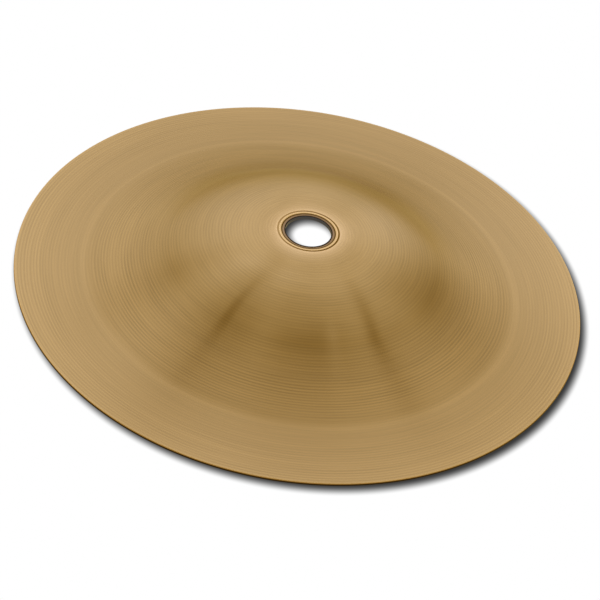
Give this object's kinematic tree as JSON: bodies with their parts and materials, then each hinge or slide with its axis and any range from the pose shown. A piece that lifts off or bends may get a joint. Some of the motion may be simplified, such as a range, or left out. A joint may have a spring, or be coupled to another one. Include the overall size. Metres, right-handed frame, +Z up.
{
  "type": "cup chime",
  "caption": "Low domed bronze bell with a sloping flange, turned from one disc and bored at the crown to hang on a stand rod.",
  "frame": {"origin": "on the chime's axis, in the plane that its rim rests on, mouth down", "axes": "+Z up along the axis, from the open mouth to the crown; the section is the same all round, so +X and +Y are free"},
  "size_m": [0.1524, 0.1524, 0.0198],
  "materials": {
    "bronze": "fine concentric lathe grooves, satin, unlacquered look"
  },
  "bodies": {
    "root": {"cup_chime": "bronze"}
  },
  "joints": []
}
